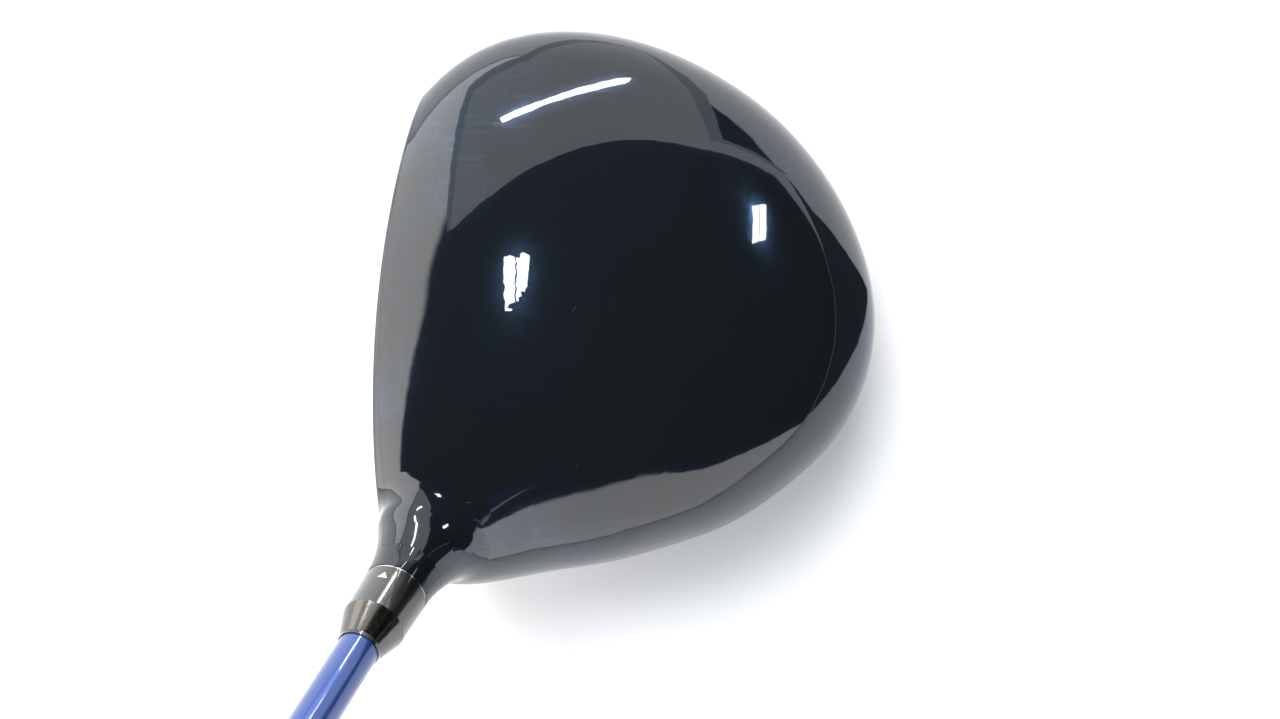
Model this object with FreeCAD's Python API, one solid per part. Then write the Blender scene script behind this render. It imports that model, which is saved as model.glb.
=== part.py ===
import FreeCAD
import Part
import math
import os

V = FreeCAD.Vector

# Golf driver. Frame: origin at the middle of the sole's ground flat,
# +X toward the heel, +Y toward the back of the head, +Z up. The shaft axis
# rises toward +X. Lengths in mm, angles in degrees.

# ---- head --------------------------------------------------------------------
LIE = 58.5               # shaft axis above the ground
LOFT = 10.5              # face leaned back from vertical
AXIS_GROUND_X = 19.6     # where the shaft axis meets the ground
AXIS_GROUND_Y = -18.0
COLLAR_Z = 66.0          # top of the hosel

PLAN_CENTRE_Y = 14.0
# Plan radii every 15 degrees from the heel side round by the back. The ones
# ahead of the face only shape the head before the face is cut.
PLAN_RADII = [54.3, 51.55, 51.2, 51.8, 53.45, 55.1, 55.6, 55.0, 54.25, 54.2,
              54.9, 56.35, 58.9, 61.85, 63.95, 63.3, 61.6, 61.5, 62.0, 62.0,
              65.0, 71.0, 71.0, 60.8]
CROWN_OVAL_X = 62.0      # half axes the crown follows near its middle
CROWN_OVAL_Y = 58.0
RIM_Z = 37.8             # height of the widest line
RIM_SLOPE = -0.075
RIM_BEND = -0.00113
CROWN_RISE = 25.0
CROWN_FULLNESS = 0.30
SOLE_DIP = -0.35         # sole middle before the ground flat is cut
SOLE_CAMBER_X = 0.0012
SOLE_CAMBER_Y = 0.0016
SOLE_SQUARE_BACK = 1.9   # how square the sole turns up, back and front
SOLE_SQUARE_FRONT = 4.0

FACE_RADIUS = 305.0      # bulge and roll
FACE_MID_X = 8.0         # foremost point of the face
FACE_MID_Y = -37.9
FACE_MID_Z = 29.0
FACE_EDGE_R = 2.2
WALL = 0.9
FACE_WALL = 3.2
CROWN_WALL = 0.8
BOND = 0.04              # bond line round the crown panel and the face plate

PARTING_RAISE = 1.8      # crown panel edge above the widest line
PARTING_TILT = 1.2       # the edge rises this much toward the heel
CROWN_FRONT = 0.85       # crown panel edge behind the face surface
CROWN_FRONT_RADIUS = 245.0
CROWN_FRONT_SHIFT = -6.0  # toward the toe, so the edge falls back at the heel
HEEL_RISE_X = 0.8        # slopes of the crown panel's edge beside the neck
HEEL_RISE_Y = -0.27
HEEL_RISE_AT = V(52.0, -8.0, 50.0)
CROWN_TOP_T = 71.2
CROWN_TUBE_GAP = 0.3
LEDGE_WIDTH = 5.0
LEDGE_WALL = 0.8

PLATE_HALF_WIDTH = 42.0  # face plate outline
PLATE_HALF_HEIGHT = 19.5
PLATE_MID_X = -10.0
GROOVE_WIDTH = 0.9
GROOVE_DEPTH = 0.35
GROOVE_PITCH = 4.6
GROOVE_COUNT = 7
GROOVE_BLANK = 19.0      # half width of the plain middle of the face

# ---- hosel and its screw -----------------------------------------------------
COLLAR_R = 7.05
NECK_FLARE = 3.6         # the neck widens this much toward the head
NECK_FLARE_LENGTH = 15.4
NECK_FILLET = 7.0
TUBE_R = 6.6
SLIDE_FIT = 0.05         # radial, adapter in the hosel bore
INSERT_R = 5.6           # adapter below the collar
INSERT_LENGTH = 36.0
SPLINE_COUNT = 8
SPLINE_WIDTH = 1.6
SPLINE_HEIGHT = 0.7
SPLINE_LENGTH = 5.4
SPLINE_PLAY = 0.35
INSERT_END_GAP = 0.4
WEB_LENGTH = 4.0
WEB_GAP = 5.6            # from the adapter's end to the web's top
SCREW_R = 2.5
SCREW_FIT = 0.05
SCREW_HEAD_R = 4.2
SCREW_HEAD_LENGTH = 5.0
SCREW_LENGTH = 24.6      # under the head
SCREW_ENGAGED = 10.0     # thread inside the adapter at rest
SOCKET_R = 1.75
SOCKET_LOBE_R = 0.55
SOCKET_DEPTH = 3.0
WASHER_R = 4.75
WASHER_THICK = 0.6
PORT_R = 5.2
PORT_SEAT_T = 6.8        # spot-face of the wrench port, along the shaft axis
PORT_SEAT_R = 6.6
PORT_BOSS_R = 8.0
PLAY = 0.3               # end play round the captive screw
RETAINER_THICK = 0.9
RETAINER_GROOVE = 0.6
RETAINER_HOLE_R = 3.1

# ---- adapter sleeve, ferrule, shaft ------------------------------------------
RING_THICK = 0.5
RING_INSET = 0.12
SLEEVE_LENGTH = 10.4     # exposed above the hosel ring
SLEEVE_TOP_R = 6.68
FERRULE_LENGTH = 6.5
FERRULE_TOP_R = 4.6
FERRULE_RING_LENGTH = 0.85
GLUE = 0.03              # bond gap round the shaft
TIP_R = 4.25
TIP_DEPTH = 20.0         # shaft tip below the hosel ring
TIP_PARALLEL = 75.0
BUTT_R = 7.62
CLUB_LENGTH = 1150.0     # along the shaft axis from the ground
SHAFT_WALL = 1.15
PLUG_LENGTH = 12.0
MARK_TURN = 89.0        # sleeve mark round the axis
MARK_LENGTH = 1.5
MARK_WIDTH = 2.05
MARK_OFFSET = 1.9
MARK_INSET = 0.12

# ---- grip ----------------------------------------------------------------------
GRIP_LENGTH = 267.0
GRIP_WALL_MOUTH = 1.6
GRIP_BUTT_R = 13.2
TAPE_THICK = 0.35
CAP_THICK = 5.0
CAP_R = 13.6
CAP_SPIGOT_LENGTH = 8.0
VENT_R = 2.0

# ---- rear weight ---------------------------------------------------------------
WEIGHT_X = 0.0
WEIGHT_Y = 50.0
WEIGHT_R = 9.0
WEIGHT_THICK = 4.6
WEIGHT_PLAY = 0.4
WEIGHT_STUD_R = 4.0
WEIGHT_STUD_LENGTH = 5.5
WEIGHT_FIT = 0.05
WEIGHT_SINK = 1.0        # weight face below the sole round it
GASKET_THICK = 0.7
BOSS_R = 11.6
BOSS_FLOOR = 6.4

# ---- derived -------------------------------------------------------------------
LIE_RAD = math.radians(LIE)
SHAFT_DIR = V(math.cos(LIE_RAD), 0, math.sin(LIE_RAD))
AXIS_GROUND = V(AXIS_GROUND_X, AXIS_GROUND_Y, 0)
COLLAR_T = COLLAR_Z / math.sin(LIE_RAD)
LOFT_RAD = math.radians(LOFT)
FACE_DIR = V(0, -math.cos(LOFT_RAD), math.sin(LOFT_RAD))
FACE_UP = V(0, math.sin(LOFT_RAD), math.cos(LOFT_RAD))
FACE_MID = V(FACE_MID_X, FACE_MID_Y, FACE_MID_Z)
FACE_CENTRE = FACE_MID - FACE_DIR * FACE_RADIUS
INSERT_END_T = COLLAR_T - INSERT_LENGTH
HEAD_TOP_T = INSERT_END_T + SCREW_ENGAGED - SCREW_LENGTH
WASHER_TOP_T = HEAD_TOP_T + PLAY + WASHER_THICK
SLEEVE_TOP_T = COLLAR_T + RING_THICK + SLEEVE_LENGTH
FERRULE_TOP_T = SLEEVE_TOP_T + FERRULE_LENGTH
RING_TOP_T = FERRULE_TOP_T + FERRULE_RING_LENGTH
TIP_T = COLLAR_T - TIP_DEPTH
GRIP_MOUTH_T = CLUB_LENGTH - GRIP_LENGTH
INSERT_BORE_R = INSERT_R + SLIDE_FIT
HEAD_BOTTOM_T = HEAD_TOP_T - SCREW_HEAD_LENGTH
RETAINER_TOP_T = HEAD_BOTTOM_T - PLAY

COUNT = len(PLAN_RADII)


def fourier(values):
    terms = []
    for k in range(COUNT // 2 + 1):
        a = 0.0
        b = 0.0
        for i in range(COUNT):
            turn = 2 * math.pi * k * i / COUNT
            a += values[i] * math.cos(turn)
            b += values[i] * math.sin(turn)
        scale = 1.0 / COUNT
        if 0 < k < COUNT // 2:
            scale = 2.0 / COUNT
        terms.append((a * scale, b * scale))
    return terms


PLAN_TERMS = fourier(PLAN_RADII)


def plan_radius(turn):
    total = 0.0
    for k in range(len(PLAN_TERMS)):
        a = PLAN_TERMS[k][0]
        b = PLAN_TERMS[k][1]
        total += a * math.cos(k * turn) + b * math.sin(k * turn)
    return total


def reach(turn, share):
    # distance from the plan centre at which the squared share is reached
    rim = 1.0 / plan_radius(turn) ** 2
    oval = (math.cos(turn) / CROWN_OVAL_X) ** 2
    oval += (math.sin(turn) / CROWN_OVAL_Y) ** 2
    root = math.sqrt(oval ** 2 + 4 * rim * (rim - oval) * share)
    return math.sqrt(2 * share / (oval + root))


def rim_height(y):
    return RIM_Z + RIM_SLOPE * y + RIM_BEND * y * y


def sole_height(x, y, share):
    base = SOLE_DIP + SOLE_CAMBER_X * x * x + SOLE_CAMBER_Y * y * y
    front = 1.0 / (1.0 + math.exp(y / 10.0))
    square = SOLE_SQUARE_BACK + (SOLE_SQUARE_FRONT - SOLE_SQUARE_BACK) * front
    lift = 1.0 - math.sqrt(max(0.0, 1.0 - share ** square))
    return base + (rim_height(y) - base) * lift


def head_point(turn, slope):
    # slope runs from 0 at the crown's middle to pi at the sole's
    share = min(1.0, math.sin(slope) ** 2)
    r = reach(turn, share)
    x = r * math.cos(turn)
    y = PLAN_CENTRE_Y + r * math.sin(turn)
    if slope <= math.pi / 2:
        dome = math.cos(slope) * math.sqrt(1 + CROWN_FULLNESS * share)
        return V(x, y, rim_height(y) + CROWN_RISE * dome)
    return V(x, y, sole_height(x, y, share))


def head_normal(turn, slope):
    if slope < 0.001:
        return V(0, RIM_SLOPE * -1.0, 1).normalize()
    if slope > math.pi - 0.001:
        return V(0, 0, -1)
    d = 0.0005
    along = head_point(turn, slope + d) - head_point(turn, slope - d)
    round_it = head_point(turn + d, slope) - head_point(turn - d, slope)
    return along.cross(round_it).normalize()


def spline_points(ring):
    # control points of the closed even cubic that passes through the ring
    size = len(ring)
    points = list(ring)
    for step in range(44):
        for i in range(size):
            sides = points[i - 1] + points[(i + 1) % size]
            points[i] = (ring[i] * 6 - sides) * 0.25
    return points


def end_points(points, count):
    # the same cubic from its first point to point number count, ends pinned
    size = len(points)
    first = points[0]
    start = (points[-1] + first * 4 + points[1]) * (1 / 6.0)
    line = [start, (first * 2 + points[1]) * (1 / 3.0)]
    for i in range(1, count):
        line.append(points[i])
    last = points[count % size]
    before = points[count - 1]
    after = points[(count + 1) % size]
    line.append((before + last * 2) * (1 / 3.0))
    line.append((before + last * 4 + after) * (1 / 6.0))
    return line


def closed_surface(columns, rows, place):
    # columns run round, rows run from the top pole to the bottom one
    grid = []
    for i in range(columns):
        turn = 2 * math.pi * i / columns - math.pi / 2
        grid.append([place(turn, math.pi * j / rows) for j in range(rows + 1)])
    half = columns // 2
    sheet = []
    for i in range(columns):
        far = grid[(i + half) % columns]
        ring = grid[i] + [far[j] for j in range(rows - 1, 0, -1)]
        sheet.append(end_points(spline_points(ring), rows))
    across = []
    for j in range(rows + 3):
        ring = [sheet[i][j] for i in range(columns)]
        across.append(end_points(spline_points(ring), columns))
    for i in range(columns + 3):
        across[0][i] = grid[0][0]
        across[rows + 2][i] = grid[0][rows]
    for j in range(rows + 3):
        across[j][columns + 2] = across[j][0]
    poles = [[across[j][i] for j in range(rows + 3)] for i in range(columns + 3)]
    round_mults = [4] + [1] * (columns - 1) + [4]
    down_mults = [4] + [1] * (rows - 1) + [4]
    round_knots = [float(i) for i in range(columns + 1)]
    down_knots = [float(j) for j in range(rows + 1)]
    surface = Part.BSplineSurface()
    surface.buildFromPolesMultsKnots(poles, round_mults, down_mults, round_knots,
                                     down_knots, False, False, 3, 3)
    return surface


def pebble(inset):
    def place(turn, slope):
        point = head_point(turn, slope)
        if inset:
            point = point - head_normal(turn, slope) * inset
        return point

    surface = closed_surface(96, 32, place)
    solid = Part.Solid(Part.Shell([surface.toShape()]))
    if solid.Volume < 0:
        solid.reverse()
    return solid


def on_axis(t):
    return AXIS_GROUND + SHAFT_DIR * t


def rod(radius, t0, t1):
    return Part.makeCylinder(radius, t1 - t0, on_axis(t0), SHAFT_DIR)


def taper(r0, r1, t0, t1):
    if abs(r0 - r1) < 1e-6:
        return rod(r0, t0, t1)
    return Part.makeCone(r0, r1, t1 - t0, on_axis(t0), SHAFT_DIR)


def ball(inset):
    return Part.makeSphere(FACE_RADIUS - inset, FACE_CENTRE)


def biggest(shape):
    solids = sorted(shape.Solids, key=lambda s: s.Volume)
    return solids[-1]


def neck():
    # a trumpet on the shaft axis: it widens as the square of the distance
    # below the collar, then closes again inside the head
    points = []
    for i in range(7):
        share = i / 6.0
        r = COLLAR_R + NECK_FLARE * share * share
        points.append(V(r, 0, COLLAR_T - NECK_FLARE_LENGTH * share))
    low = COLLAR_T - NECK_FLARE_LENGTH
    wide = COLLAR_R + NECK_FLARE
    points.append(V(wide + 0.55, 0, low - 2.2))
    points.append(V(wide, 0, low - 5.5))
    points.append(V(wide - 2.0, 0, low - 10.0))
    points.append(V(wide - 4.5, 0, low - 15.0))
    side = Part.BSplineCurve()
    side.interpolate(points)
    top = V(0, 0, COLLAR_T)
    base = V(0, 0, points[-1].z)
    edges = [side.toShape(), Part.makeLine(points[-1], base)]
    edges += [Part.makeLine(base, top), Part.makeLine(top, points[0])]
    solid = Part.Face(Part.Wire(edges)).revolve(V(0, 0, 0), V(0, 0, 1), 360)
    solid.Placement = tilted_frame(AXIS_GROUND, V(-1, 0, 0).cross(SHAFT_DIR),
                                   SHAFT_DIR)
    return solid


def neck_rims(shape):
    # edges where the neck's flare leaves the head, not its top circle
    rims = []
    for face in shape.Faces:
        if "Revolution" not in face.Surface.TypeId:
            continue
        for edge in face.Edges:
            box = edge.BoundBox
            on_seam = edge.isSeam(face)
            if not edge.Degenerated and not on_seam and box.ZMax < COLLAR_Z - 1:
                rims.append(edge)
    return rims


def outer_head():
    cut = biggest(pebble(0).common(ball(0)))
    border = []
    for face in cut.Faces:
        if face.Surface.TypeId == "Part::GeomSphere":
            border = face.Edges
    cut = cut.makeFillet(FACE_EDGE_R, border)
    joined = biggest(cut.fuse(neck()))
    joined = joined.makeFillet(NECK_FILLET, neck_rims(joined))
    above = Part.makeBox(300, 300, 300, V(-150, -150, 0))
    return biggest(joined.common(above))


def inner_head(inset, face_wall):
    return biggest(pebble(inset).common(ball(face_wall)))


def panel_region(grow):
    # everything above the crown parting, behind the face edge and clear of
    # the hosel; grow moves all three borders outward
    low = []
    for i in range(-12, 17):
        y = i * 5.0
        low.append(V(-120, y, rim_height(y) + PARTING_RAISE - grow))
    bottom = Part.BSplineCurve()
    bottom.interpolate(low)
    corner = V(-120, low[-1].y, 150)
    top = V(-120, low[0].y, 150)
    sides = [Part.makeLine(low[-1], corner), Part.makeLine(corner, top)]
    sides.append(Part.makeLine(top, low[0]))
    wire = Part.Wire([bottom.toShape()] + sides)
    block = Part.Face(wire).extrude(V(240, 0, 0))
    block.rotate(V(0, 0, rim_height(0)), V(0, 1, 0), -PARTING_TILT)
    far = CROWN_FRONT_RADIUS + CROWN_FRONT
    centre = FACE_MID - FACE_DIR * far + V(CROWN_FRONT_SHIFT, 0, 0)
    block = block.common(Part.makeSphere(CROWN_FRONT_RADIUS + grow, centre))
    rise = V(-HEEL_RISE_X, -HEEL_RISE_Y, 1.0).normalize()
    under = Part.makeBox(400, 400, 200, V(-200, -200, 0))
    under.Placement = tilted_frame(HEEL_RISE_AT - rise * grow,
                                   V(0, 1, 0).cross(rise).normalize(), -rise)
    block = block.cut(under)
    block = block.common(rod(200, -200, CROWN_TOP_T + grow))
    return block.cut(rod(TUBE_R + CROWN_TUBE_GAP - grow, 20, 140))


def tilted_frame(base, x_dir, z_dir):
    y_dir = z_dir.cross(x_dir).normalize()
    place = FreeCAD.Matrix(x_dir.x, y_dir.x, z_dir.x, base.x,
                           x_dir.y, y_dir.y, z_dir.y, base.y,
                           x_dir.z, y_dir.z, z_dir.z, base.z, 0, 0, 0, 1)
    return FreeCAD.Placement(place)


def plate_region(grow):
    half_w = PLATE_HALF_WIDTH + grow
    half_h = PLATE_HALF_HEIGHT + grow
    points = []
    for i in range(24):
        turn = 2 * math.pi * i / 24
        c = math.cos(turn)
        s = math.sin(turn)
        x = half_w * math.copysign(abs(c) ** 0.72, c)
        y = half_h * math.copysign(abs(s) ** 0.72, s)
        points.append(V(x, y - 0.05 * x, 0))
    outline = Part.BSplineCurve()
    outline.interpolate(points, True)
    sheet = Part.Face(Part.Wire([outline.toShape()]))
    prism = sheet.extrude(V(0, 0, 40))
    prism.Placement = tilted_frame(FACE_MID - FACE_DIR * 15 + V(PLATE_MID_X, 0, 0),
                                   V(1, 0, 0), FACE_DIR)
    return prism


def face_plate():
    plate = plate_region(0).common(ball(0))
    plate = biggest(plate.cut(ball(FACE_WALL)))
    skin = ball(-3).cut(ball(GROOVE_DEPTH))
    cutters = []
    for i in range(GROOVE_COUNT):
        level = (i - (GROOVE_COUNT - 1) / 2.0) * GROOVE_PITCH
        shrink = abs(level) * 0.28
        for side in (-1, 1):
            start = GROOVE_BLANK
            length = PLATE_HALF_WIDTH - 4.5 - shrink - start
            x = start if side > 0 else -start - length
            slot = Part.makeBox(length, GROOVE_WIDTH, 30)
            slot.translate(V(x, level - GROOVE_WIDTH / 2, 0))
            slot.Placement = tilted_frame(
                FACE_MID - FACE_DIR * 12 + V(PLATE_MID_X, 0, 0), V(1, 0, 0),
                FACE_DIR).multiply(slot.Placement)
            cutters.append(slot)
    tool = cutters[0].multiFuse(cutters[1:]).common(skin)
    return biggest(plate.cut(tool))


# ---- rear weight frame: the sole's surface under the weight --------------------
def weight_turn_slope():
    dx = WEIGHT_X
    dy = WEIGHT_Y - PLAN_CENTRE_Y
    turn = math.atan2(dy, dx)
    far = math.hypot(dx, dy)
    low = 0.0
    high = 1.0
    for step in range(50):
        middle = (low + high) / 2
        if reach(turn, middle) < far:
            low = middle
        else:
            high = middle
    return turn, math.pi - math.asin(math.sqrt(low))


WEIGHT_AT = weight_turn_slope()
WEIGHT_POINT = head_point(WEIGHT_AT[0], WEIGHT_AT[1])
WEIGHT_OUT = head_normal(WEIGHT_AT[0], WEIGHT_AT[1])


def at_weight(depth):
    return WEIGHT_POINT - WEIGHT_OUT * depth


def plug(radius, deep, shallow):
    # a cylinder on the weight's axis between two depths under the sole
    return Part.makeCylinder(radius, deep - shallow, at_weight(deep), WEIGHT_OUT)


SEAT_DEPTH = WEIGHT_SINK + WEIGHT_THICK + GASKET_THICK


def splines(radius, width, t0, t1):
    ribs = []
    for i in range(SPLINE_COUNT):
        rib = Part.makeBox(radius, width, t1 - t0, V(0, -width / 2, 0))
        rib.rotate(V(0, 0, 0), V(0, 0, 1), 360.0 * i / SPLINE_COUNT)
        ribs.append(rib)
    star = ribs[0].multiFuse(ribs[1:])
    star.Placement = tilted_frame(on_axis(t0), V(0, 1, 0), SHAFT_DIR)
    return star


def void_space(head):
    room = inner_head(WALL, FACE_WALL)
    deep = inner_head(WALL + LEDGE_WALL, FACE_WALL + 1.5)
    ring = panel_region(1.5).cut(panel_region(-LEDGE_WIDTH))
    tube = rod(TUBE_R, 0, COLLAR_T)
    boss = rod(PORT_BOSS_R, -6, HEAD_BOTTOM_T + 1)
    base = plug(BOSS_R, SEAT_DEPTH + BOSS_FLOOR, -4)
    keep = tube.multiFuse([boss, base])
    room = room.cut(ring)
    return room.fuse(deep).cut(keep)


def hosel_bores():
    web_top = INSERT_END_T - WEB_GAP
    bores = [rod(INSERT_BORE_R, web_top, COLLAR_T + 9)]
    bores.append(rod(SCREW_R + 0.3, HEAD_TOP_T - 1, web_top + 1))
    bores.append(rod(PORT_R, -12, web_top - WEB_LENGTH))
    groove_low = RETAINER_TOP_T - RETAINER_THICK
    bores.append(rod(PORT_R + RETAINER_GROOVE, groove_low, RETAINER_TOP_T))
    bores.append(rod(PORT_SEAT_R, -12, PORT_SEAT_T))
    star = splines(INSERT_R + SPLINE_HEIGHT + SPLINE_PLAY,
                   SPLINE_WIDTH + 2 * SPLINE_PLAY,
                   COLLAR_T - SPLINE_LENGTH, COLLAR_T + 3)
    bores.append(star)
    seat = rod(COLLAR_R - RING_INSET - 0.6, COLLAR_T - 0.001, COLLAR_T + 4)
    return bores[0].multiFuse(bores[1:] + [seat])


def weight_bores():
    socket = plug(WEIGHT_R + WEIGHT_PLAY, SEAT_DEPTH, -8)
    hole = plug(WEIGHT_STUD_R + WEIGHT_FIT, SEAT_DEPTH + 6.0, SEAT_DEPTH - 1)
    return socket.fuse(hole)


def make_head():
    head = outer_head()
    panel_inner = pebble(CROWN_WALL)
    panel = biggest(head.cut(panel_inner).common(panel_region(0)))
    body = head.cut(void_space(head))
    recess = panel_region(BOND).cut(inner_head(WALL, WALL))
    body = body.cut(recess)
    body = body.cut(plate_region(BOND).common(ball(-3)).cut(ball(FACE_WALL + 2)))
    body = body.cut(hosel_bores())
    body = biggest(body.cut(weight_bores()))
    return body, panel


def hosel_ring():
    outer = rod(COLLAR_R - RING_INSET, COLLAR_T, COLLAR_T + RING_THICK)
    ring = outer.cut(rod(INSERT_BORE_R + 0.1, COLLAR_T - 1, COLLAR_T + 2))
    notches = splines(INSERT_R + SPLINE_HEIGHT + SPLINE_PLAY,
                      SPLINE_WIDTH + 2 * SPLINE_PLAY, COLLAR_T - 1, COLLAR_T + 2)
    return biggest(ring.cut(notches))


def mark_prism():
    tip = COLLAR_T + RING_THICK + MARK_OFFSET
    a = V(0, 0, 0)
    b = V(0, MARK_WIDTH / 2, MARK_LENGTH)
    c = V(0, -MARK_WIDTH / 2, MARK_LENGTH)
    prism = Part.Face(Part.makePolygon([a, b, c, a])).extrude(V(12, 0, 0))
    prism.rotate(V(0, 0, 0), V(0, 0, 1), MARK_TURN)
    prism.Placement = tilted_frame(on_axis(tip), V(0, 1, 0),
                                   SHAFT_DIR).multiply(prism.Placement)
    return prism


def sleeve_skin(depth):
    low = COLLAR_T + RING_THICK
    return taper(COLLAR_R - depth, SLEEVE_TOP_R - depth, low, SLEEVE_TOP_T)


def adapter_sleeve():
    low = COLLAR_T + RING_THICK
    body = sleeve_skin(0).fuse(rod(INSERT_R, INSERT_END_T, low + 1))
    star = splines(INSERT_R + SPLINE_HEIGHT, SPLINE_WIDTH,
                   COLLAR_T - SPLINE_LENGTH + SPLINE_PLAY, low + 1)
    body = body.fuse(star)
    body = body.cut(rod(TIP_R + GLUE, TIP_T, SLEEVE_TOP_T + 5))
    body = body.cut(rod(SCREW_R + SCREW_FIT, INSERT_END_T - 1, TIP_T + 1))
    return biggest(body.cut(mark_prism().cut(sleeve_skin(MARK_INSET))))


def sleeve_mark():
    mark = mark_prism().common(sleeve_skin(0))
    return biggest(mark.cut(sleeve_skin(MARK_INSET)))


def ferrule():
    cone = taper(SLEEVE_TOP_R, FERRULE_TOP_R, SLEEVE_TOP_T, FERRULE_TOP_T)
    return cone.cut(rod(TIP_R + GLUE, SLEEVE_TOP_T - 1, FERRULE_TOP_T + 1))


def ferrule_ring():
    cone = taper(FERRULE_TOP_R, FERRULE_TOP_R - 0.12, FERRULE_TOP_T, RING_TOP_T)
    return cone.cut(rod(TIP_R + GLUE, FERRULE_TOP_T - 1, RING_TOP_T + 1))


def shaft_radius(t):
    start = TIP_T + TIP_PARALLEL
    if t <= start:
        return TIP_R
    share = min(1.0, (t - start) / (CLUB_LENGTH - CAP_THICK - start))
    return TIP_R + (BUTT_R - TIP_R) * share ** 0.9


def turned(profile):
    # profile is a list of (radius, t), turned about the shaft axis
    points = [V(p[0], 0, p[1]) for p in profile]
    wire = Part.makePolygon(points + [points[0]])
    solid = Part.Face(wire).revolve(V(0, 0, 0), V(0, 0, 1), 360)
    solid.Placement = tilted_frame(AXIS_GROUND, V(0, 1, 0), SHAFT_DIR)
    return solid


def shaft_stations():
    end = CLUB_LENGTH - CAP_THICK
    start = TIP_T + TIP_PARALLEL
    stations = [TIP_T, start]
    for i in range(1, 7):
        stations.append(start + (end - start) * i / 6.0)
    return stations


def shaft():
    stations = shaft_stations()
    outside = [(shaft_radius(t), t) for t in stations]
    inside = [(shaft_radius(t) - SHAFT_WALL, t) for t in reversed(stations)]
    return turned(outside + inside)


def tip_plug():
    return rod(TIP_R - SHAFT_WALL, TIP_T + 1, TIP_T + 1 + PLUG_LENGTH)


def grip_stations():
    stations = [GRIP_MOUTH_T]
    for t in shaft_stations():
        if t > GRIP_MOUTH_T + 1:
            stations.append(t)
    return stations


def grip_tape():
    stations = grip_stations()
    outside = [(shaft_radius(t) + TAPE_THICK, t) for t in stations]
    inside = [(shaft_radius(t), t) for t in reversed(stations)]
    return turned(outside + inside)


def grip_radius(share):
    mouth = shaft_radius(GRIP_MOUTH_T) + TAPE_THICK + GRIP_WALL_MOUTH
    swell = 0.55 * share + 0.45 * share ** 3
    return mouth + (GRIP_BUTT_R - mouth) * swell


def grip():
    end = CLUB_LENGTH - CAP_THICK
    outside = [(grip_radius(0) - 0.8, GRIP_MOUTH_T)]
    outside.append((grip_radius(0), GRIP_MOUTH_T + 2.5))
    for i in range(1, 13):
        share = i / 12.0
        t = GRIP_MOUTH_T + 2.5 + (end - GRIP_MOUTH_T - 2.5) * share
        outside.append((grip_radius(share), t))
    inside = []
    for t in reversed(grip_stations()):
        inside.append((shaft_radius(t) + TAPE_THICK, t))
    return turned(outside + inside)


def grip_cap():
    end = CLUB_LENGTH - CAP_THICK
    bore = shaft_radius(end) - SHAFT_WALL
    profile = [(VENT_R, end - CAP_SPIGOT_LENGTH), (bore - 0.05, end - CAP_SPIGOT_LENGTH)]
    profile += [(bore - 0.05, end), (GRIP_BUTT_R, end)]
    profile += [(CAP_R, end + 0.8), (CAP_R, end + 2.6), (CAP_R - 1.2, end + 4.2)]
    profile += [(CAP_R - 3.4, CLUB_LENGTH), (VENT_R, CLUB_LENGTH)]
    return turned(profile)


def lobed_socket(radius, lobe, depth):
    hole = Part.makeCylinder(radius, depth)
    for i in range(6):
        turn = math.pi * i / 3
        at = V(radius * math.cos(turn), radius * math.sin(turn), 0)
        hole = hole.fuse(Part.makeCylinder(lobe, depth, at))
    return hole


def hosel_screw():
    tip = HEAD_TOP_T + SCREW_LENGTH
    shank = rod(SCREW_R, HEAD_TOP_T - 0.5, tip - 0.8)
    point = taper(SCREW_R, SCREW_R - 0.7, tip - 0.8, tip)
    head = rod(SCREW_HEAD_R, HEAD_BOTTOM_T, HEAD_TOP_T)
    hole = lobed_socket(SOCKET_R, SOCKET_LOBE_R, SOCKET_DEPTH + 1)
    hole.Placement = tilted_frame(on_axis(HEAD_BOTTOM_T - 1), V(0, 1, 0), SHAFT_DIR)
    return head.multiFuse([shank, point]).cut(hole)


def screw_washer():
    ring = rod(WASHER_R, WASHER_TOP_T - WASHER_THICK, WASHER_TOP_T)
    return ring.cut(rod(SCREW_R + 0.3, WASHER_TOP_T - 2, WASHER_TOP_T + 1))


def screw_retainer():
    low = RETAINER_TOP_T - RETAINER_THICK
    ring = rod(PORT_R + RETAINER_GROOVE - 0.05, low, RETAINER_TOP_T)
    ring = ring.cut(rod(RETAINER_HOLE_R, low - 1, RETAINER_TOP_T + 1))
    gap = Part.makeBox(10, 1.6, 8, V(0, -0.8, 0))
    gap.Placement = tilted_frame(on_axis(low - 2), V(0, 1, 0), SHAFT_DIR)
    return biggest(ring.cut(gap))


def rear_weight():
    face = plug(WEIGHT_R, WEIGHT_SINK + WEIGHT_THICK, WEIGHT_SINK)
    stud_end = SEAT_DEPTH + WEIGHT_STUD_LENGTH
    stud = plug(WEIGHT_STUD_R, stud_end, WEIGHT_SINK + 1)
    whole = face.fuse(stud)
    rim = []
    for edge in whole.Edges:
        if edge.Curve.TypeId != "Part::GeomCircle":
            continue
        if (edge.Curve.Center - at_weight(WEIGHT_SINK)).Length < 0.01:
            rim.append(edge)
    whole = whole.makeChamfer(0.5, rim)
    hole = lobed_socket(2.1, 0.65, 4.0)
    hole.Placement = tilted_frame(at_weight(WEIGHT_SINK + 3.2), V(1, 0, 0), WEIGHT_OUT)
    return whole.cut(hole)


def weight_gasket():
    ring = plug(WEIGHT_R, SEAT_DEPTH, SEAT_DEPTH - GASKET_THICK)
    return ring.cut(plug(WEIGHT_STUD_R + 0.35, SEAT_DEPTH + 1, 0))


def save(name, shape):
    solids = shape.Solids
    print(name, len(solids), shape.isValid(), round(shape.Volume, 1))
    if len(solids) == 1:
        shape = solids[0]
    shape.exportStep("parts/" + name + ".step")


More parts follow.
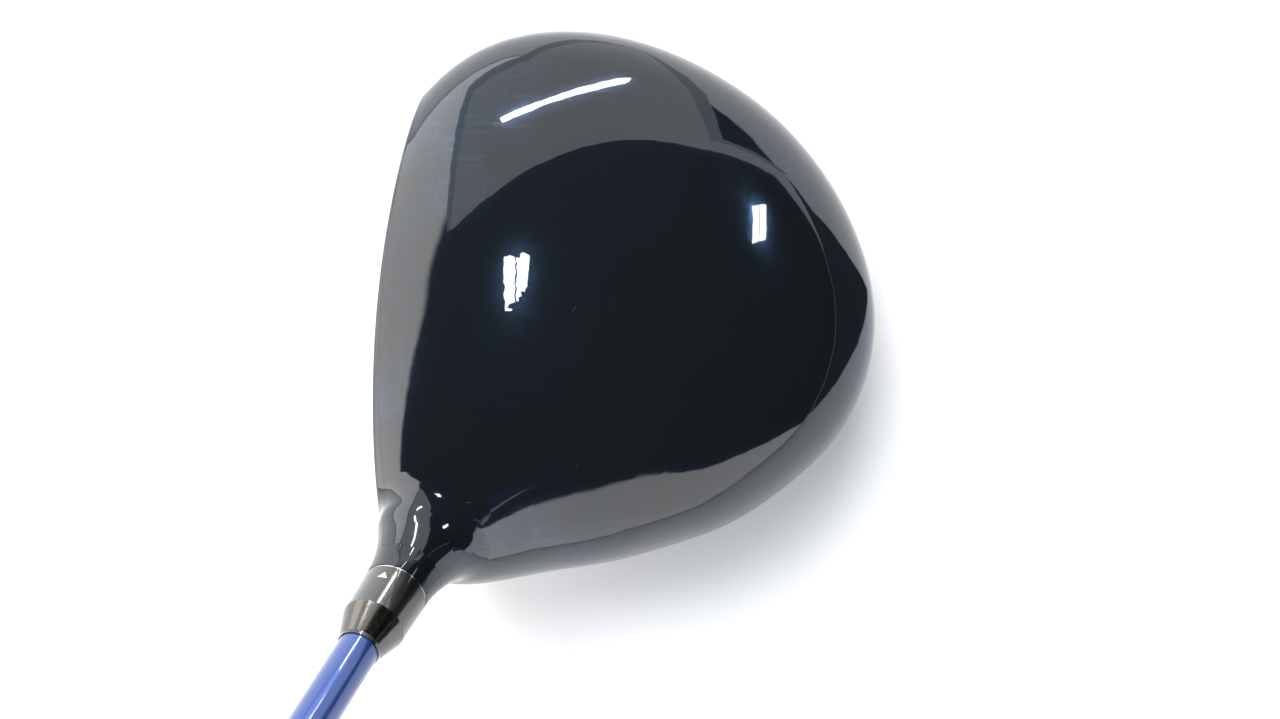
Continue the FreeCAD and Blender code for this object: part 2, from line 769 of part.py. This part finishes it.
os.makedirs("parts", exist_ok=True)
BODY, PANEL = make_head()
save("body_shell", BODY)
save("crown_shell", PANEL)
save("face_plate", face_plate())
save("rear_weight", rear_weight())
save("weight_gasket", weight_gasket())
save("hosel_screw", hosel_screw())
save("screw_washer", screw_washer())
save("screw_retainer", screw_retainer())
save("hosel_ring", hosel_ring())
save("adapter_sleeve", adapter_sleeve())
save("sleeve_mark", sleeve_mark())
save("ferrule", ferrule())
save("ferrule_ring", ferrule_ring())
save("shaft", shaft())
save("tip_plug", tip_plug())
save("grip_tape", grip_tape())
save("grip", grip())
save("grip_cap", grip_cap())
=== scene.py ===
"""Golf driver: the looks, light and camera for the CAD frame.

The head, the adapter and the shaft keep their CAD meshes and get procedural
materials. The grip is built here, on a grid of turns round and distances
along the shaft. Its radius is

    skin(along) - cut * max(cos((n * turn + wind) / 2) ** 48,
                            cos((n * turn - wind) / 2) ** 48)

with wind = 2 pi * along / lead, and skin the taper of the CAD's grip. So two
families of n helical grooves of opposite hand cross each other, and they fade
out at the plain band at each end. The grip's inside is a plain bore round the
tape. Sizes are in mm until a mesh is made. The axes are the CAD's, with Z up
and the shaft rising toward +X.
"""
import math

import bpy
import numpy as np
from mathutils import Matrix, Vector


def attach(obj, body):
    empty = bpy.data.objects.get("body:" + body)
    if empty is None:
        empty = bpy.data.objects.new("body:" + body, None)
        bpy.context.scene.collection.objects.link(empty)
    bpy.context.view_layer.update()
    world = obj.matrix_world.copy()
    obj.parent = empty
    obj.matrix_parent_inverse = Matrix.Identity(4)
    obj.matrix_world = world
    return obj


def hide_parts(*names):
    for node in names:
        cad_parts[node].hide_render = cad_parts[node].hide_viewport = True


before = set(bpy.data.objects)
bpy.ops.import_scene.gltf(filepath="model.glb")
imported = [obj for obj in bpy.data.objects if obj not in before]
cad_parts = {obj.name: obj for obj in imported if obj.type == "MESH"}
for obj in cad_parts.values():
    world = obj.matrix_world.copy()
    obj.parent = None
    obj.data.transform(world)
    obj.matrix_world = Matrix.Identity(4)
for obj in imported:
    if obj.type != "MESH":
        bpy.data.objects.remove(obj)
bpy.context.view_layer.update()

MM = 0.001

# ---- sizes shared with the CAD parts, mm -------------------------------------
LIE = math.radians(58.5)
SHAFT_DIR = np.array([math.cos(LIE), 0.0, math.sin(LIE)])
AXIS_GROUND = np.array([19.6, -18.0, 0.0])
COLLAR_Z = 66.0
TIP_DEPTH = 20.0
TIP_PARALLEL = 75.0
TIP_R = 4.25
BUTT_R = 7.62
CLUB_LENGTH = 1150.0
CAP_THICK = 5.0
GRIP_LENGTH = 267.0
GRIP_LIP = 2.5           # the mouth's rounded edge, along the shaft
GRIP_LIP_STEP = 0.8
GRIP_WALL_MOUTH = 1.6
GRIP_BUTT_R = 13.2
TAPE_THICK = 0.35

# Distances along the shaft axis from the ground
TAPER_T = COLLAR_Z / math.sin(LIE) - TIP_DEPTH + TIP_PARALLEL
GRIP_END_T = CLUB_LENGTH - CAP_THICK
GRIP_MOUTH_T = CLUB_LENGTH - GRIP_LENGTH

# ---- grip grooves, mm --------------------------------------------------------
GROOVE_LEAD = 64.0       # along the shaft for one turn of the pattern
GROOVE_STARTS = 8
GROOVE_CUT = 0.6
GROOVE_SHARPNESS = 48    # power of the cosine, which keeps the grooves narrow
PLAIN_BAND = 14.0        # left smooth at each end
BAND_FADE = 6.0
GRIP_INSET = 0.02        # keeps the skin inside the CAD taper
GRIP_SEGMENTS = 150
GRIP_ROWS = 600
BORE_ROWS = 12


# ---- meshes ------------------------------------------------------------------
def mesh_piece(name, points, faces, smooth=True):
    """An object at the origin from points in mm and faces of point numbers."""
    mesh = bpy.data.meshes.new(name)
    mesh.from_pydata(points * MM, [], faces)
    mesh.update()
    if smooth:
        mesh.polygons.foreach_set("use_smooth", np.ones(len(mesh.polygons), bool))
    piece = bpy.data.objects.new(name, mesh)
    bpy.context.scene.collection.objects.link(piece)
    return piece


def grid_faces(rows, columns):
    """Quads of a closed tube of rows by columns points, numbered row by row;
    the last row joins the first and the last column joins the first."""
    i, j = np.meshgrid(np.arange(rows), np.arange(columns), indexing="ij")
    k = (j + 1) % columns
    n = (i + 1) % rows
    quads = np.stack([i * columns + j, i * columns + k,
                      n * columns + k, n * columns + j], -1)
    return quads.reshape(-1, 4).tolist()


def turned_piece(name, radius, along, segments):
    """A closed profile carried round the shaft axis; radius and along are
    arrays of profile rows by segments."""
    turn = np.linspace(0, 2 * np.pi, segments, endpoint=False)
    side = np.array([0.0, 1.0, 0.0])
    lift = np.cross(SHAFT_DIR, side)
    points = (AXIS_GROUND + along[..., None] * SHAFT_DIR
              + radius[..., None] * (np.cos(turn)[:, None] * side
                                     + np.sin(turn)[:, None] * lift))
    faces = grid_faces(radius.shape[0], segments)
    return mesh_piece(name, points.reshape(-1, 3), faces)


# ---- grip --------------------------------------------------------------------
def shaft_radius(along):
    """The shaft's own taper: parallel at the tip, then widening to the butt."""
    share = np.clip((along - TAPER_T) / (GRIP_END_T - TAPER_T), 0.0, 1.0)
    return TIP_R + (BUTT_R - TIP_R) * share ** 0.9


def grip_skin(along, turn):
    """The grip's outer radius, as the formula at the top gives it."""
    start = GRIP_MOUTH_T + GRIP_LIP
    share = np.clip((along - start) / (GRIP_END_T - start), 0.0, 1.0)
    mouth = shaft_radius(GRIP_MOUTH_T) + TAPE_THICK + GRIP_WALL_MOUTH
    skin = mouth + (GRIP_BUTT_R - mouth) * (0.55 * share + 0.45 * share ** 3)
    wind = 2 * math.pi / GROOVE_LEAD * along
    right = np.cos(0.5 * (GROOVE_STARTS * turn + wind)) ** GROOVE_SHARPNESS
    left = np.cos(0.5 * (GROOVE_STARTS * turn - wind)) ** GROOVE_SHARPNESS
    from_end = np.minimum(along - GRIP_MOUTH_T, GRIP_END_T - along)
    fade = np.clip((from_end - PLAIN_BAND) / BAND_FADE, 0.0, 1.0)
    lip = np.clip(1 - (along - GRIP_MOUTH_T) / GRIP_LIP, 0.0, 1.0)
    cut = GROOVE_CUT * np.maximum(right, left) * fade
    return skin - GRIP_INSET - cut - GRIP_LIP_STEP * lip


def grip_piece():
    turn = np.linspace(0, 2 * np.pi, GRIP_SEGMENTS, endpoint=False)
    rows = np.linspace(GRIP_MOUTH_T, GRIP_END_T, GRIP_ROWS)
    outer, round_ = np.meshgrid(rows, turn, indexing="ij")
    rows = np.linspace(GRIP_END_T, GRIP_MOUTH_T, BORE_ROWS)
    inner = np.meshgrid(rows, turn, indexing="ij")[0]
    radius = np.concatenate([grip_skin(outer, round_),
                             shaft_radius(inner) + TAPE_THICK])
    made = turned_piece("grip_rubber", radius, np.concatenate([outer, inner]),
                        GRIP_SEGMENTS)
    made.data.materials.append(looks["grip"])
    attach(made, "shaft_assembly")
    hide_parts("grip")


# ---- materials ---------------------------------------------------------------
def linear(code):
    """sRGB hex to linear colour with alpha."""
    c = np.array([int(code[i:i + 2], 16) for i in (1, 3, 5)]) / 255.0
    c = np.where(c <= 0.04045, c / 12.92, ((c + 0.055) / 1.055) ** 2.4)
    return (*c.tolist(), 1.0)


def node(tree, kind, inputs=None, **settings):
    """Adds a node, with its settings, and its inputs by name or number: a
    value, a socket, or a node whose first output is meant."""
    made = tree.nodes.new(kind)
    for key, value in settings.items():
        setattr(made, key, value)
    for key, value in (inputs or {}).items():
        socket = made.inputs[key]
        if isinstance(value, bpy.types.Node):
            value = value.outputs[0]
        if isinstance(value, bpy.types.NodeSocket):
            tree.links.new(value, socket)
        else:
            socket.default_value = value
    return made


def new_material(name):
    """A material, its empty tree and the object's own coordinates."""
    made = bpy.data.materials.new(name)
    made.use_nodes = True
    tree = made.node_tree
    tree.nodes.clear()
    place = node(tree, "ShaderNodeTexCoord").outputs["Object"]
    return made, tree, place


def grain(tree, place, per_mm, detail=2.0, stretch=(1, 1, 1), turn=(0, 0, 0)):
    """A pattern of so many waves per mm, stretched and turned in the part's
    frame, as the socket of its height."""
    mapped = node(tree, "ShaderNodeMapping", {
        "Vector": place, "Rotation": turn,
        "Scale": Vector(stretch) * per_mm / MM})
    return node(tree, "ShaderNodeTexNoise", {
        "Vector": mapped, "Scale": 1.0, "Detail": detail}).outputs["Fac"]


def scratches(tree, place):
    """Fine crossing strokes, 0 to 1, gathered in patches some 20 mm wide."""
    patches = grain(tree, place, 0.045, 3.0)
    strokes = grain(tree, place, 0.9, 3.0, (1.0, 0.12, 0.5), (0, 0, 0.7))
    cross = grain(tree, place, 0.9, 3.0, (0.10, 1.0, 0.5), (0, 0, 0.25))
    strokes = node(tree, "ShaderNodeMapRange", {
        "Value": strokes, "From Min": 0.52, "From Max": 0.72,
        "To Min": 0.0, "To Max": 1.0}, interpolation_type="SMOOTHSTEP")
    cross = node(tree, "ShaderNodeMapRange", {
        "Value": cross, "From Min": 0.55, "From Max": 0.75,
        "To Min": 0.0, "To Max": 1.0}, interpolation_type="SMOOTHSTEP")
    patches = node(tree, "ShaderNodeMapRange", {
        "Value": patches, "From Min": 0.42, "From Max": 0.66,
        "To Min": 0.35, "To Max": 1.0}, interpolation_type="SMOOTHSTEP")
    wiped = node(tree, "ShaderNodeMath", {0: strokes, 1: cross},
                 operation="MAXIMUM")
    share = node(tree, "ShaderNodeMath", {0: wiped, 1: 0.6, 2: 0.4},
                 operation="MULTIPLY_ADD")
    return node(tree, "ShaderNodeMath", {0: patches, 1: share},
                operation="MULTIPLY")


def gloss_black():
    """Black paint under a polished clear coat. The coat gives mirror
    reflections; the haze of wiping scratches round a bright reflection comes
    from a second, rougher lobe that is faint, bluish and broken into fine
    strokes."""
    made, tree, place = new_material("black_paint_clear_coat")
    orange_peel = node(tree, "ShaderNodeBump", {
        "Height": grain(tree, place, 0.35, 1.0), "Distance": 0.001 * MM,
        "Strength": 1.0})
    paint = node(tree, "ShaderNodeBsdfPrincipled", {
        "Base Color": linear("#101418"), "Roughness": 0.42,
        "Specular IOR Level": 0.0,
        "Coat Weight": 1.0, "Coat Roughness": 0.012, "Coat IOR": 1.56,
        "Coat Normal": orange_peel})
    haze = node(tree, "ShaderNodeBsdfGlossy", {
        "Color": linear("#4f6f96"), "Roughness": 0.15, "Normal": orange_peel})
    amount = node(tree, "ShaderNodeMapRange", {
        "Value": scratches(tree, place), "From Min": 0.0, "From Max": 1.0,
        "To Min": 0.02, "To Max": 0.17}, interpolation_type="SMOOTHSTEP")
    mixed = node(tree, "ShaderNodeMixShader", {"Fac": amount, 1: paint, 2: haze})
    node(tree, "ShaderNodeOutputMaterial", {"Surface": mixed})
    return made


def metal(name, colour, rough, along=(1, 1, 1), per_mm=1.5, depth_mm=0.004,
          coat=0.0):
    """Bare metal cut or brushed one way: fine waves, stretched along the
    tool's path, vary its roughness and tilt its surface."""
    made, tree, place = new_material(name)
    cut = grain(tree, place, per_mm, 3.0, along)
    fine = node(tree, "ShaderNodeMapRange", {
        "Value": cut, "From Min": 0.3, "From Max": 0.7,
        "To Min": -0.05, "To Max": 0.05}, interpolation_type="SMOOTHSTEP")
    wear = node(tree, "ShaderNodeMapRange", {
        "Value": grain(tree, place, 0.08, 2.0),
        "From Min": 0.35, "From Max": 0.7,
        "To Min": rough - 0.03, "To Max": rough + 0.05},
        interpolation_type="SMOOTHSTEP")
    rough_all = node(tree, "ShaderNodeMath", {0: fine, 1: wear},
                     operation="ADD")
    tilt = node(tree, "ShaderNodeBump", {
        "Height": cut, "Distance": depth_mm * MM, "Strength": 1.0})
    shader = node(tree, "ShaderNodeBsdfPrincipled", {
        "Base Color": linear(colour), "Metallic": 1.0, "Roughness": rough_all,
        "Coat Weight": coat, "Coat Roughness": 0.06, "Normal": tilt})
    node(tree, "ShaderNodeOutputMaterial", {"Surface": shader})
    return made


def dyed(name, colour, rough, grain_mm=0.02, per_mm=0.9, coat=0.0, sheen=0.0):
    """Moulded or painted stuff: a slightly uneven skin that spreads the
    light."""
    made, tree, place = new_material(name)
    wear = node(tree, "ShaderNodeMapRange", {
        "Value": grain(tree, place, 0.05, 2.0),
        "From Min": 0.35, "From Max": 0.68,
        "To Min": rough - 0.05, "To Max": rough + 0.06},
        interpolation_type="SMOOTHSTEP")
    tilt = node(tree, "ShaderNodeBump", {
        "Height": grain(tree, place, per_mm, 3.0), "Distance": grain_mm * MM,
        "Strength": 1.0})
    shader = node(tree, "ShaderNodeBsdfPrincipled", {
        "Base Color": linear(colour), "Roughness": wear,
        "Coat Weight": coat, "Coat Roughness": 0.02, "Coat IOR": 1.5,
        "Sheen Weight": sheen, "Normal": tilt})
    node(tree, "ShaderNodeOutputMaterial", {"Surface": shader})
    return made


def anodised_black():
    """Polished aluminium dyed black: a dark mirror, dulled a little where
    hands have worn it."""
    made, tree, place = new_material("black_anodised_aluminium")
    wear = node(tree, "ShaderNodeMapRange", {
        "Value": grain(tree, place, 0.3, 3.0),
        "From Min": 0.4, "From Max": 0.7,
        "To Min": 0.012, "To Max": 0.05}, interpolation_type="SMOOTHSTEP")
    shader = node(tree, "ShaderNodeBsdfPrincipled", {
        "Base Color": linear("#0a0a0b"), "Roughness": 0.30,
        "Coat Weight": 1.0, "Coat IOR": 1.6, "Coat Roughness": wear})
    node(tree, "ShaderNodeOutputMaterial", {"Surface": shader})
    return made


def shaft_paint():
    """Blue lacquer with fine metal flake under a clear coat: the flake lifts
    the blue where light falls square on it, the coat carries sharp stripes."""
    made, tree, place = new_material("blue_flake_lacquer")
    flake = node(tree, "ShaderNodeMapRange", {
        "Value": grain(tree, place, 6.0, 1.0),
        "From Min": 0.45, "From Max": 0.7,
        "To Min": 0.0, "To Max": 1.0}, interpolation_type="SMOOTHSTEP")
    shade = node(tree, "ShaderNodeMixRGB", {
        0: flake, 1: linear("#15377c"), 2: linear("#1f4c98")})
    shader = node(tree, "ShaderNodeBsdfPrincipled", {
        "Base Color": shade, "Metallic": 0.45, "Roughness": 0.36,
        "Coat Weight": 1.0, "Coat Roughness": 0.015, "Coat IOR": 1.5})
    node(tree, "ShaderNodeOutputMaterial", {"Surface": shader})
    return made


PAINT = gloss_black()
looks = {
    "body_shell": PAINT, "crown_shell": PAINT,
    "face_plate": metal("brushed_titanium", "#58575a", 0.36, (0.05, 1, 1), 3.0),
    "rear_weight": metal("turned_steel", "#a7a6a4", 0.24),
    "weight_gasket": dyed("nitrile_rubber", "#121212", 0.7),
    "hosel_screw": metal("blacked_steel", "#3a3a3c", 0.38),
    "screw_washer": metal("plain_steel", "#a9a8a6", 0.28),
    "screw_retainer": metal("spring_steel", "#8b8a88", 0.33),
    "hosel_ring": metal("bright_turned_aluminium", "#e6e6e4", 0.14,
                        depth_mm=0.001),
    "adapter_sleeve": anodised_black(),
    "sleeve_mark": dyed("white_ink", "#f1f0ec", 0.45, 0.004),
    "ferrule": metal("satin_grey_anodised", "#5e5c59", 0.20, depth_mm=0.002,
                     coat=0.3),
    "ferrule_ring": dyed("black_acetate", "#0b0b0d", 0.3, 0.002, coat=1.0),
    "shaft": shaft_paint(),
    "tip_plug": metal("plain_brass", "#c9a454", 0.3),
    "grip_tape": dyed("paper_tape", "#d9d1ba", 0.85, 0.03, 1.4),
    "grip": dyed("grip_rubber", "#18181b", 0.66, 0.03, 1.6, sheen=0.15),
    "grip_cap": dyed("cap_rubber", "#161618", 0.62, 0.02, 1.2),
}
for name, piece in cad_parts.items():
    piece.data.materials.clear()
    piece.data.materials.append(looks[name])
grip_piece()


# ---- stage -------------------------------------------------------------------
def area_light(name, place, aim, size, power, colour="#ffffff", seen=True):
    data = bpy.data.lights.new(name, "AREA")
    data.shape = "RECTANGLE"
    data.size, data.size_y = size
    data.energy = power
    data.color = linear(colour)[:3]
    lamp = bpy.data.objects.new(name, data)
    lamp.location = place
    way = Vector(aim) - Vector(place)
    lamp.rotation_mode = "QUATERNION"
    lamp.rotation_quaternion = way.to_track_quat("-Z", "Y")
    lamp.visible_glossy = seen
    lamp.visible_camera = False
    bpy.context.scene.collection.objects.link(lamp)
    return lamp


def card(name, outline, colour, strength):
    """A flat panel with a straight or curved outline, given by its corners in
    mm, that only reflections see."""
    corners = np.array(outline, float)
    made = mesh_piece(name, corners, [tuple(range(len(corners)))], False)
    look, tree, _ = new_material(name + "_glow")
    glow = node(tree, "ShaderNodeEmission", {
        "Color": linear(colour), "Strength": strength})
    node(tree, "ShaderNodeOutputMaterial", {"Surface": glow})
    made.data.materials.append(look)
    made.visible_camera = False
    made.visible_diffuse = False
    made.visible_shadow = False


def screen():
    """A grey screen standing beyond the toe, its lower edge set back in a bay,
    with a narrow darker border under it."""
    low = [(-406, 510), (-153, 170), (-92, 83), (-38, 62), (-12, 23),
           (12, 2), (50, 44), (85, 100), (143, 36)]
    high = [(300, 30), (143, 60), (84, 127), (40, 161), (-37, 232), (-155, 336),
            (-406, 516)]
    edge = [(-418, 500), (-160, 156), (-97, 69), (-41, 50), (-17, 12),
            (12, 1), (56, 30), (92, 86), (143, 28)]
    card("screen", [(-120, y, z) for y, z in low + high], "#fffdf8", 1.5)
    card("screen_border", [(-121, y, z) for y, z in edge + low[::-1]],
         "#e6f2f4", 1.1)


def tube_lamp():
    """A long lamp in front of the screen, bowed a little upward."""
    half = 4.4
    step = np.linspace(0, 1, 25)
    bow = 4 * step * (1 - step)
    y = -77.3 + 100.0 * step + 7.1 * bow
    z = 144.8 - 73.5 * step + 7.5 * bow
    tube = [(-115, a, b + half) for a, b in zip(y, z)]
    tube += [(-115, a, b - half) for a, b in zip(y[::-1], z[::-1])]
    card("tube_lamp", tube, "#ffffff", 40)


def windows():
    """Two windows of two panes: one overhead beyond the face, one high at the
    back."""
    daylight = "#f6fbff"
    card("window_front_a", [(-178, -621, 1500), (-181, -535, 1500),
                            (12, -500, 1500), (31, -564, 1500)], daylight, 30)
    card("window_front_b", [(-181, -525, 1500), (-184, -440, 1500),
                            (-60, -432, 1500), (0, -490, 1500)], daylight, 30)
    card("window_back_a", [(-899, 1200, 1042), (-886, 1200, 905),
                           (-585, 1200, 1155), (-583, 1200, 1292)], daylight, 26)
    card("window_back_b", [(-885, 1200, 890), (-870, 1200, 753),
                           (-587, 1200, 1008), (-585, 1200, 1143)], daylight, 26)


def painted_shade_sheet():
    """Painted shade: a dim sheet on the table behind the head that only
    reflections see.
    """
    # Painted shade: its faint glow replaces the lit white table with the shaded
    # table and dark room that the crown's rim reflects.
    card("painted_shade_sheet", [(-15, 85, 1), (20, 150, 1), (120, 330, 1),
                        (900, 1700, 1), (-1700, 1700, 1), (-560, 600, 1),
                        (-150, 240, 1)], "#c8d4e0", 0.10)


def shaft_stripe():
    """A small lamp that lights only the adapter, the ferrule and the shaft,
    for the thin bright stripe along them."""
    lamp = area_light("stripe_lamp", (-0.11, -0.001, 0.05),
                      (0.057, -0.016, 0.073), (0.016, 0.03), 0.05)
    group = bpy.data.collections.new("stripe_receivers")
    for name in ("adapter_sleeve", "ferrule", "ferrule_ring", "hosel_ring",
                 "shaft"):
        group.objects.link(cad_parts[name])
    lamp.light_linking.receiver_collection = group


def floor():
    half = 3000.0
    points = np.array([[-half, -half, 0], [half, -half, 0], [half, half, 0],
                       [-half, half, 0]])
    made = mesh_piece("table_top", points, [(0, 1, 2, 3)], False)
    look, tree, place = new_material("matt_white_sheet")
    tilt = node(tree, "ShaderNodeBump", {
        "Height": grain(tree, place, 0.02, 2.0), "Distance": 0.05 * MM,
        "Strength": 1.0})
    shader = node(tree, "ShaderNodeBsdfPrincipled", {
        "Base Color": linear("#f3f4f5"), "Roughness": 0.9,
        "Specular IOR Level": 0.1, "Normal": tilt})
    node(tree, "ShaderNodeOutputMaterial", {"Surface": shader})
    made.data.materials.append(look)


def camera():
    """Above the head's back, with the shaft running out at the lower left."""
    data = bpy.data.cameras.new("camera")
    data.lens = 51.75
    data.sensor_width = 36
    data.clip_start = 0.01
    made = bpy.data.objects.new("camera", data)
    back = Vector((-0.039, 0.291, 0.956)).normalized()
    up = Vector((-0.996, -0.088, -0.013))
    right = up.cross(back).normalized()
    up = back.cross(right)
    turn = Matrix((right, up, back)).transposed().to_4x4()
    made.matrix_world = Matrix.Translation((-0.0063, 0.1361, 0.4125)) @ turn
    bpy.context.scene.collection.objects.link(made)
    bpy.context.scene.camera = made


def wall_top(tree, to_heel, to_back):
    """Sine of the height at which the bright walls end: 0.70, less a drop
    toward the back and a dip at the corner between the face and heel sides."""
    share = node(tree, "ShaderNodeMath", {0: to_back, 1: 0.3},
                 operation="SUBTRACT")
    share = node(tree, "ShaderNodeMath", {0: share, 1: 0.0}, operation="MAXIMUM")
    square = node(tree, "ShaderNodeMath", {0: share, 1: 2.0}, operation="POWER")
    drop = node(tree, "ShaderNodeMath", {0: square, 1: 2.3}, operation="MULTIPLY")
    face = node(tree, "ShaderNodeMath", {0: to_back, 1: -1.0},
                operation="MULTIPLY")
    face = node(tree, "ShaderNodeMath", {0: face, 1: 0.0}, operation="MAXIMUM")
    heel = node(tree, "ShaderNodeMath", {0: to_heel, 1: 0.0}, operation="MAXIMUM")
    corner = node(tree, "ShaderNodeMath", {0: face, 1: heel},
                  operation="MULTIPLY")
    square = node(tree, "ShaderNodeMath", {0: corner, 1: corner},
                  operation="MULTIPLY")
    dip = node(tree, "ShaderNodeMath", {0: square, 1: 2.0}, operation="MULTIPLY")
    top = node(tree, "ShaderNodeMath", {0: 0.70, 1: drop}, operation="SUBTRACT")
    return node(tree, "ShaderNodeMath", {0: top, 1: dip}, operation="SUBTRACT")


def room():
    """Bright walls on the face side and the heel side, up to wall_top, none
    at the back of the toe, and a dark ceiling."""
    world = bpy.data.worlds.new("room")
    bpy.context.scene.world = world
    world.use_nodes = True
    tree = world.node_tree
    tree.nodes.clear()
    place = node(tree, "ShaderNodeTexCoord").outputs["Generated"]
    across, depth, height = node(tree, "ShaderNodeSeparateXYZ", {0: place}).outputs
    across_2 = node(tree, "ShaderNodeMath", {0: across, 1: across},
                    operation="MULTIPLY")
    depth_2 = node(tree, "ShaderNodeMath", {0: depth, 1: depth},
                   operation="MULTIPLY")
    both = node(tree, "ShaderNodeMath", {0: across_2, 1: depth_2},
                operation="ADD")
    flat = node(tree, "ShaderNodeMath", {0: both}, operation="SQRT")
    to_back = node(tree, "ShaderNodeMath", {0: depth, 1: flat},
                   operation="DIVIDE")
    to_heel = node(tree, "ShaderNodeMath", {0: across, 1: flat},
                   operation="DIVIDE")
    margin = node(tree, "ShaderNodeMath", {
        0: wall_top(tree, to_heel, to_back), 1: height}, operation="SUBTRACT")
    turned_from_toe = node(tree, "ShaderNodeMath", {0: to_heel, 1: to_back},
                           operation="SUBTRACT")
    below_top = node(tree, "ShaderNodeMapRange", {
        "Value": margin, "From Min": -0.02, "From Max": 0.02,
        "To Min": 0.0, "To Max": 1.0}, interpolation_type="SMOOTHSTEP")
    off_toe = node(tree, "ShaderNodeMapRange", {
        "Value": turned_from_toe, "From Min": -1.0, "From Max": -0.7,
        "To Min": 0.0, "To Max": 1.0}, interpolation_type="SMOOTHSTEP")
    strength = node(tree, "ShaderNodeMapRange", {
        "Value": depth, "From Min": -0.75, "From Max": 0.1,
        "To Min": 4.0, "To Max": 2.6}, interpolation_type="SMOOTHSTEP")
    lit = node(tree, "ShaderNodeMath", {0: below_top, 1: off_toe},
               operation="MULTIPLY")
    walls = node(tree, "ShaderNodeMath", {0: lit, 1: strength},
                 operation="MULTIPLY")
    level = node(tree, "ShaderNodeMath", {0: walls, 1: 0.02}, operation="ADD")
    back = node(tree, "ShaderNodeBackground", {
        "Color": linear("#f4f0ea"), "Strength": level})
    node(tree, "ShaderNodeOutputWorld", {"Surface": back})


floor()
camera()
room()
screen()
painted_shade_sheet()
tube_lamp()
windows()
shaft_stripe()
area_light("window_soft", (-0.85, -0.10, 1.3), (0, 0.02, 0), (1.2, 1.2), 34,
           seen=False)
area_light("ceiling_fill", (0.3, 0.4, 1.8), (0, 0, 0), (2.6, 2.6), 24,
           "#e6eefc", seen=False)
bpy.context.scene.view_settings.view_transform = "Standard"
